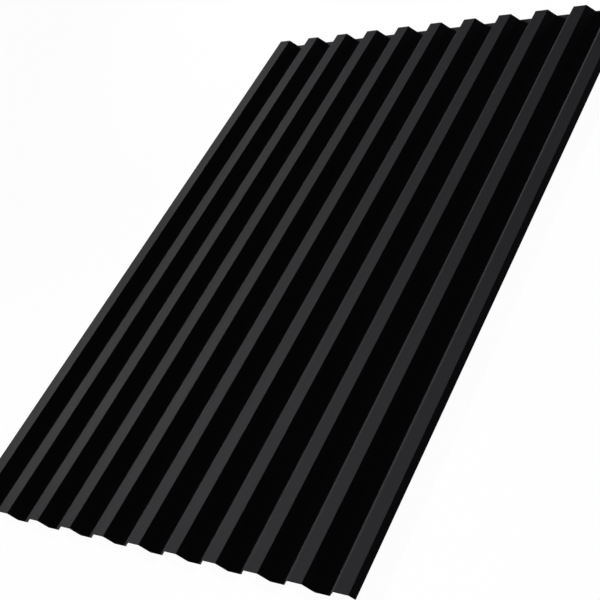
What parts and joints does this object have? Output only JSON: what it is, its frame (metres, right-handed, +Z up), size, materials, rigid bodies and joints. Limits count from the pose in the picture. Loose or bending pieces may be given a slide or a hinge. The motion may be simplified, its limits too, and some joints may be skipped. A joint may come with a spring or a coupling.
{
  "type": "corrugated metal sheet",
  "caption": "Roll-formed trapezoidal steel sheet with parallel ribs and dark coil-coated paint, for roofs, walls and fences.",
  "frame": {"origin": "centre of the sheet's outline, on the plane that the valleys rest on", "axes": "+Z up through the ribs, +Y along the ribs, +X across them"},
  "size_m": [1.0512, 1.565, 0.021],
  "materials": {
    "coil_coat": "dark semi-matt coil coat"
  },
  "bodies": {
    "root": {"profiled_sheet": "coil_coat"}
  },
  "joints": []
}
